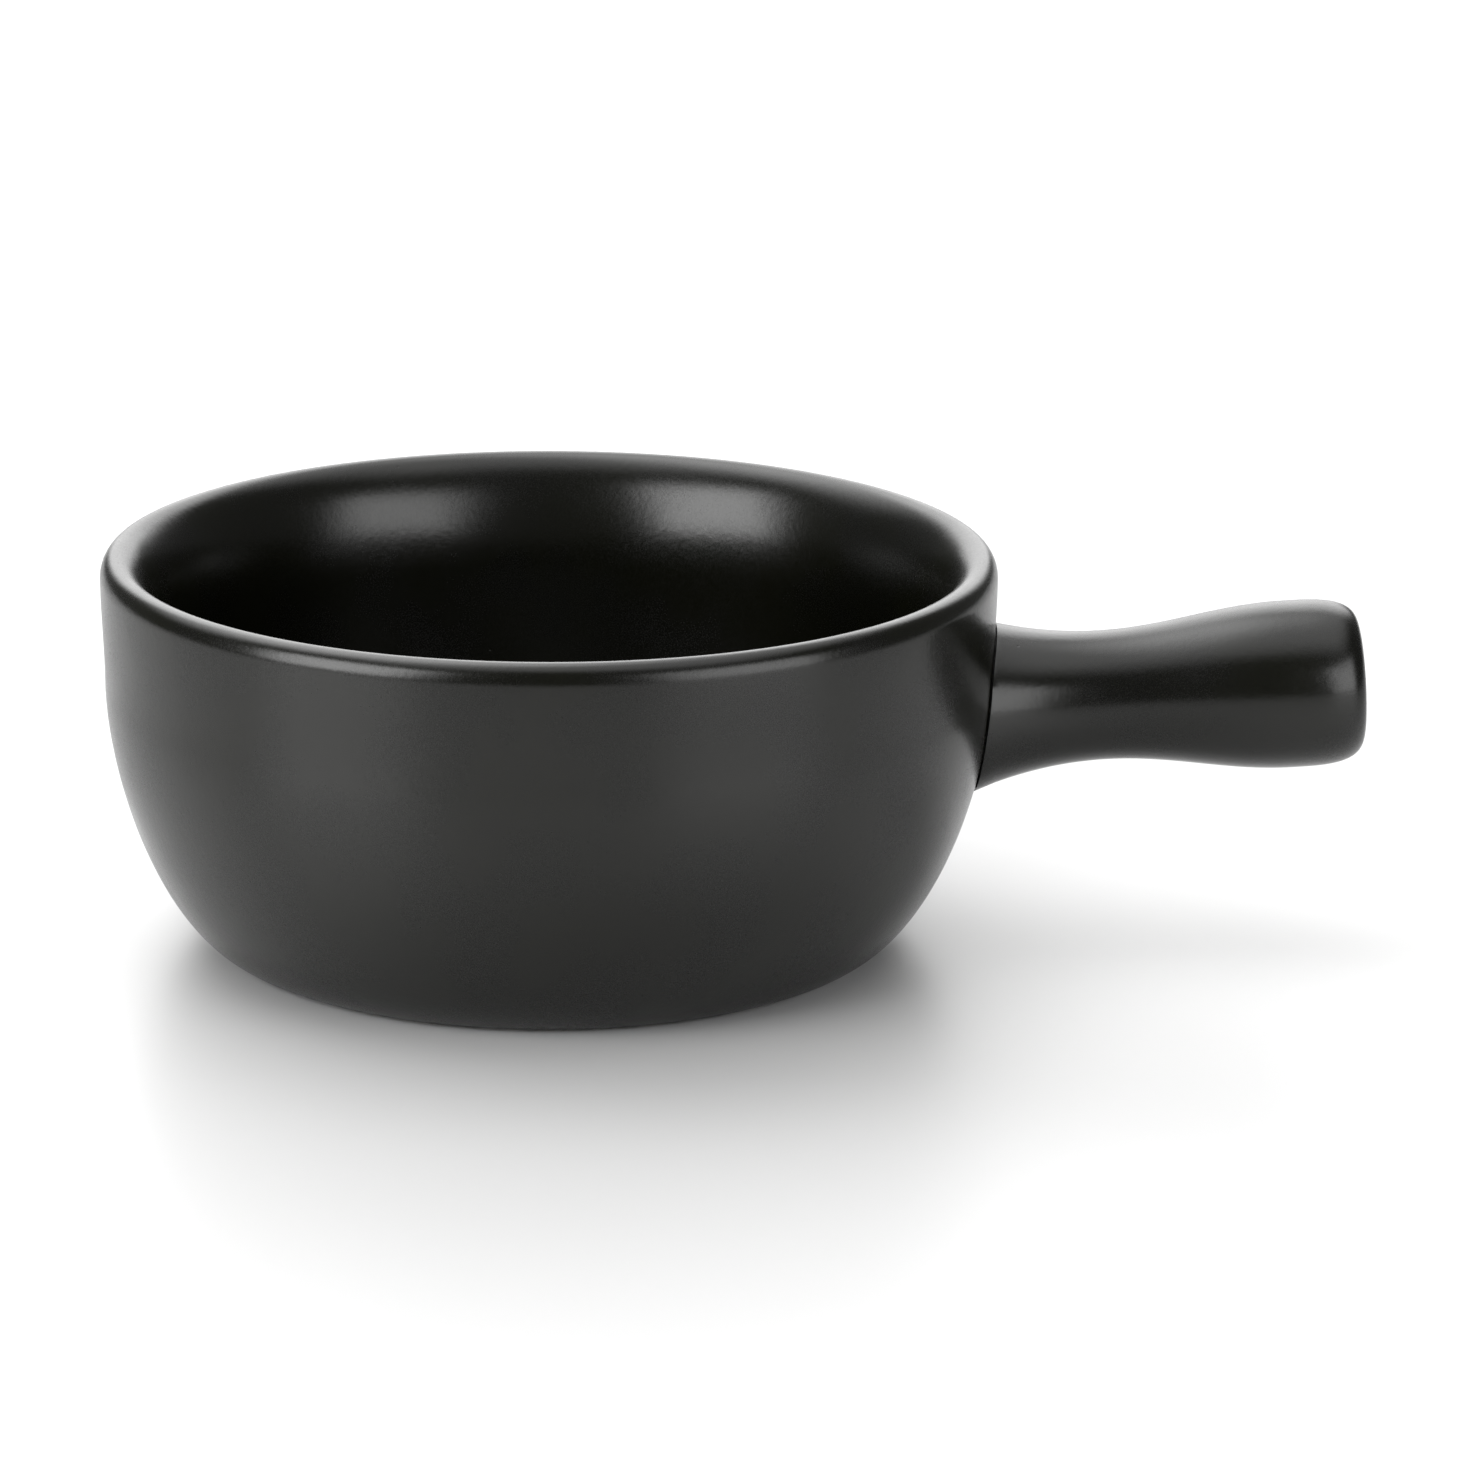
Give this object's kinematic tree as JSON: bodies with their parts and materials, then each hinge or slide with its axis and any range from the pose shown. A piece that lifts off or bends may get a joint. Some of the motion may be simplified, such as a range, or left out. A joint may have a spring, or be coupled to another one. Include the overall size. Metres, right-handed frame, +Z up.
{
  "type": "fondue pot",
  "caption": "Black satin-glazed stoneware fondue pot: a round flat-based bowl with a rounded rim and a hollow stick handle luted to its side, for melting cheese over a burner.",
  "frame": {"origin": "centre of the ground base, on the bowl's axis", "axes": "+X along the handle, away from the bowl; +Z up, along the bowl's axis; +Y to the back as the picture is seen"},
  "size_m": [0.3113, 0.22, 0.0975],
  "materials": {
    "black_glaze": "satin black glaze over stoneware, bare and ground flat under the base",
    "dark_slip": "fired black slip, dull, at the bottom of the seam round the handle's root"
  },
  "bodies": {
    "root": {"bowl": "black_glaze", "handle": "black_glaze", "luting_slip": "dark_slip"}
  },
  "joints": []
}
